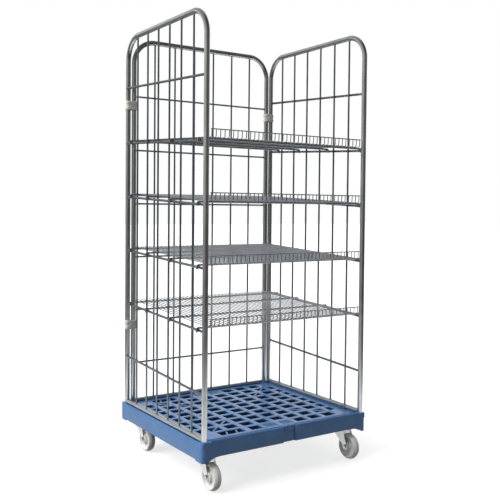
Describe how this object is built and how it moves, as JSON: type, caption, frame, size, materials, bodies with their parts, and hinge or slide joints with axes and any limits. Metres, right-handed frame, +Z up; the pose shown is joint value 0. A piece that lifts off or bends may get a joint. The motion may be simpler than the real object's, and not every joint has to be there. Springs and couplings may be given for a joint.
{
  "type": "roll cage container",
  "caption": "Roll cage container: plastic grid deck on swivel casters, zinc tube and wire panels on left, right and rear, open front, and sloping lift-off wire shelves with front lips.",
  "frame": {"origin": "floor level, at the centre of the footprint's bounding box with the casters trailing to the front", "axes": "+Z up, the longest extent; -Y towards the open front; +X to the right of someone facing the open front"},
  "size_m": [0.8152, 0.749, 1.823],
  "materials": {
    "deck_plastic": "blue moulded polyethylene, fine grain",
    "cage_steel": "bright zinc plate",
    "shelf_wire": "bright zinc plated wire",
    "caster_steel": "zinc plated pressed steel",
    "clip_plastic": "off-white polyamide",
    "wheel_polyamide": "natural white polyamide, slightly glossy"
  },
  "bodies": {
    "base": {"caster_blocks": "deck_plastic", "caster_bolts": "caster_steel", "deck_border": "deck_plastic", "deck_grid": "deck_plastic", "front_left_caster_plate": "caster_steel", "front_left_kingpin": "caster_steel", "front_left_swivel_race": "caster_steel", "front_right_caster_plate": "caster_steel", "front_right_kingpin": "caster_steel", "front_right_swivel_race": "caster_steel", "left_bottom_rail": "cage_steel", "left_frame": "cage_steel", "left_lower_clip": "clip_plastic", "left_rail_tabs": "cage_steel", "left_shelf_rods": "cage_steel", "left_upper_clip": "clip_plastic", "left_uprights": "cage_steel", "rear_bottom_rail": "cage_steel", "rear_cross_rods": "cage_steel", "rear_frame": "cage_steel", "rear_left_caster_plate": "caster_steel", "rear_left_kingpin": "caster_steel", "rear_left_swivel_race": "caster_steel", "rear_right_caster_plate": "caster_steel", "rear_right_kingpin": "caster_steel", "rear_right_swivel_race": "caster_steel", "rear_uprights": "cage_steel", "right_bottom_rail": "cage_steel", "right_frame": "cage_steel", "right_lower_clip": "clip_plastic", "right_rail_tabs": "cage_steel", "right_shelf_rods": "cage_steel", "right_upper_clip": "clip_plastic", "right_uprights": "cage_steel"},
    "front_left_swivel": {"front_left_fork": "caster_steel", "front_left_axle_bolt": "caster_steel"},
    "front_left_roller": {"front_left_wheel": "wheel_polyamide", "front_left_wheel_bush": "caster_steel"},
    "front_right_swivel": {"front_right_fork": "caster_steel", "front_right_axle_bolt": "caster_steel"},
    "front_right_roller": {"front_right_wheel": "wheel_polyamide", "front_right_wheel_bush": "caster_steel"},
    "rear_left_swivel": {"rear_left_fork": "caster_steel", "rear_left_axle_bolt": "caster_steel"},
    "rear_left_roller": {"rear_left_wheel": "wheel_polyamide", "rear_left_wheel_bush": "caster_steel"},
    "rear_right_swivel": {"rear_right_fork": "caster_steel", "rear_right_axle_bolt": "caster_steel"},
    "rear_right_roller": {"rear_right_wheel": "wheel_polyamide", "rear_right_wheel_bush": "caster_steel"},
    "shelf_1": {"shelf_1_bars": "shelf_wire", "shelf_1_wires": "shelf_wire"},
    "shelf_2": {"shelf_2_bars": "shelf_wire", "shelf_2_wires": "shelf_wire"},
    "shelf_3": {"shelf_3_bars": "shelf_wire", "shelf_3_wires": "shelf_wire"},
    "shelf_4": {"shelf_4_bars": "shelf_wire", "shelf_4_wires": "shelf_wire"}
  },
  "joints": [
    {"name": "front_left_swivel_turn", "type": "hinge", "parent": "base", "child": "front_left_swivel", "pos_m": [-0.344, -0.2655, 0.13], "axis": [0, 0, 1], "continuous": true},
    {"name": "front_left_wheel_spin", "type": "hinge", "parent": "front_left_swivel", "child": "front_left_roller", "pos_m": [-0.344, -0.3205, 0.054], "axis": [1, 0, 0], "continuous": true},
    {"name": "front_right_swivel_turn", "type": "hinge", "parent": "base", "child": "front_right_swivel", "pos_m": [0.344, -0.2655, 0.13], "axis": [0, 0, 1], "continuous": true},
    {"name": "front_right_wheel_spin", "type": "hinge", "parent": "front_right_swivel", "child": "front_right_roller", "pos_m": [0.344, -0.3205, 0.054], "axis": [1, 0, 0], "continuous": true},
    {"name": "rear_left_swivel_turn", "type": "hinge", "parent": "base", "child": "rear_left_swivel", "pos_m": [-0.344, 0.2845, 0.13], "axis": [0, 0, 1], "continuous": true},
    {"name": "rear_left_wheel_spin", "type": "hinge", "parent": "rear_left_swivel", "child": "rear_left_roller", "pos_m": [-0.344, 0.2295, 0.054], "axis": [1, 0, 0], "continuous": true},
    {"name": "rear_right_swivel_turn", "type": "hinge", "parent": "base", "child": "rear_right_swivel", "pos_m": [0.344, 0.2845, 0.13], "axis": [0, 0, 1], "continuous": true},
    {"name": "rear_right_wheel_spin", "type": "hinge", "parent": "rear_right_swivel", "child": "rear_right_roller", "pos_m": [0.344, 0.2295, 0.054], "axis": [1, 0, 0], "continuous": true},
    {"name": "shelf_1_lift", "type": "slide", "parent": "base", "child": "shelf_1", "axis": [0, 0, 1], "range_m": [0, 0.06]},
    {"name": "shelf_2_lift", "type": "slide", "parent": "base", "child": "shelf_2", "axis": [0, 0, 1], "range_m": [0, 0.06]},
    {"name": "shelf_3_lift", "type": "slide", "parent": "base", "child": "shelf_3", "axis": [0, 0, 1], "range_m": [0, 0.06]},
    {"name": "shelf_4_lift", "type": "slide", "parent": "base", "child": "shelf_4", "axis": [0, 0, 1], "range_m": [0, 0.06]}
  ]
}
